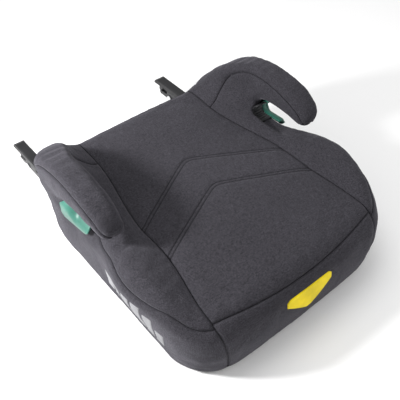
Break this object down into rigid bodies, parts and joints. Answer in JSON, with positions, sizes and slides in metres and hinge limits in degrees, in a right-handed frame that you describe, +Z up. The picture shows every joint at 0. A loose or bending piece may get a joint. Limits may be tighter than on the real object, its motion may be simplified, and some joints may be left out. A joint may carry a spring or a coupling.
{
  "type": "backless car booster seat",
  "caption": "Low padded child booster seat with hooked armrests over belt slots and a sliding pair of rear latch arms.",
  "frame": {"origin": "on the ground plane, midway between the two sides, 175 mm ahead of the seat's back face", "axes": "+Z up, -Y the way the child faces, +X to the child's left hand; named sides are as seen from the front"},
  "size_m": [0.3828, 0.5056, 0.191],
  "materials": {
    "cover_fabric": "woven polyester over foam, heathered charcoal",
    "seat_foam": "open-cell polyurethane foam",
    "black_shell": "injection moulded, fine texture",
    "green_plastic": "satin gloss",
    "black_liner": "ribbed satin",
    "yellow_badge": "soft satin",
    "rubber": "matt",
    "latch_steel": "dark zinc plated",
    "bright_steel": "bright zinc plated",
    "black_latch_plastic": "fine texture"
  },
  "bodies": {
    "seat": {"seat_shell": "black_shell", "base_plate": "black_shell", "seat_foam": "seat_foam", "cover_seat_panel": "cover_fabric", "cover_back_panel": "cover_fabric", "cover_front_panel": "cover_fabric", "cover_side_left": "cover_fabric", "cover_side_right": "cover_fabric", "cover_bolster_left": "cover_fabric", "cover_bolster_right": "cover_fabric", "cover_armrest_band_left": "cover_fabric", "cover_armrest_band_right": "cover_fabric", "front_badge": "yellow_badge", "brake_bracket": "latch_steel", "brake_pin": "bright_steel", "rod_spring": "bright_steel", "belt_guide_left": "green_plastic", "slot_liner_left": "black_liner", "guide_rail_left": "black_shell", "base_screw_left_front": "bright_steel", "base_screw_left_middle": "bright_steel", "base_screw_left_back": "bright_steel", "rubber_foot_left_front": "rubber", "rubber_foot_left_back": "rubber", "belt_guide_right": "green_plastic", "slot_liner_right": "black_liner", "guide_rail_right": "black_shell", "base_screw_right_front": "bright_steel", "base_screw_right_middle": "bright_steel", "base_screw_right_back": "bright_steel", "rubber_foot_right_front": "rubber", "rubber_foot_right_back": "rubber"},
    "latch_carriage": {"carriage_bar": "latch_steel", "brake_bar": "latch_steel", "latch_arm_left": "latch_steel", "latch_cover_left": "black_latch_plastic", "jaw_pin_left": "bright_steel", "jaw_spring_left": "bright_steel", "latch_arm_right": "latch_steel", "latch_cover_right": "black_latch_plastic", "jaw_pin_right": "bright_steel", "jaw_spring_right": "bright_steel"},
    "jaw_left": {"latch_jaw_left": "latch_steel"},
    "jaw_right": {"latch_jaw_right": "latch_steel"},
    "release_left": {"release_button_left": "black_latch_plastic"},
    "release_right": {"release_button_right": "black_latch_plastic"},
    "adjuster": {"adjuster_handle": "green_plastic", "adjuster_rod": "latch_steel"},
    "brake": {"brake_lever": "latch_steel"}
  },
  "joints": [
    {"name": "latch_slide", "type": "slide", "parent": "seat", "child": "latch_carriage", "axis": [0, 1, 0], "range_m": [-0.11, 0]},
    {"name": "adjuster_pull", "type": "slide", "parent": "seat", "child": "adjuster", "axis": [0, -1, 0], "range_m": [0, 0.008], "stiffness_N_per_m": 600, "springref_m": -0.005, "deforming": ["rod_spring"]},
    {"name": "brake_pivot", "type": "hinge", "parent": "seat", "child": "brake", "pos_m": [0, -0.055, 0.042], "axis": [-1, 0, 0], "range_deg": [0, 15.5]},
    {"name": "jaw_left_pivot", "type": "hinge", "parent": "latch_carriage", "child": "jaw_left", "pos_m": [-0.14, 0.262, 0.0375], "axis": [-1, 0, 0], "range_deg": [0, 32], "stiffness_Nm_per_rad": 0.2, "springref_deg": -17.19},
    {"name": "release_left_slide", "type": "slide", "parent": "latch_carriage", "child": "release_left", "axis": [0, -1, 0], "range_m": [0, 0.0062]},
    {"name": "jaw_right_pivot", "type": "hinge", "parent": "latch_carriage", "child": "jaw_right", "pos_m": [0.14, 0.262, 0.0375], "axis": [-1, 0, 0], "range_deg": [0, 32], "stiffness_Nm_per_rad": 0.2, "springref_deg": -17.19},
    {"name": "release_right_slide", "type": "slide", "parent": "latch_carriage", "child": "release_right", "axis": [0, -1, 0], "range_m": [0, 0.0062]}
  ],
  "couplings": [
    {"joint": "brake_pivot", "follows": "adjuster_pull", "rad_per_m": 33.3},
    {"joint": "release_left_slide", "follows": "jaw_left_pivot", "m_per_rad": 0.01074},
    {"joint": "release_right_slide", "follows": "jaw_right_pivot", "m_per_rad": 0.01074}
  ]
}
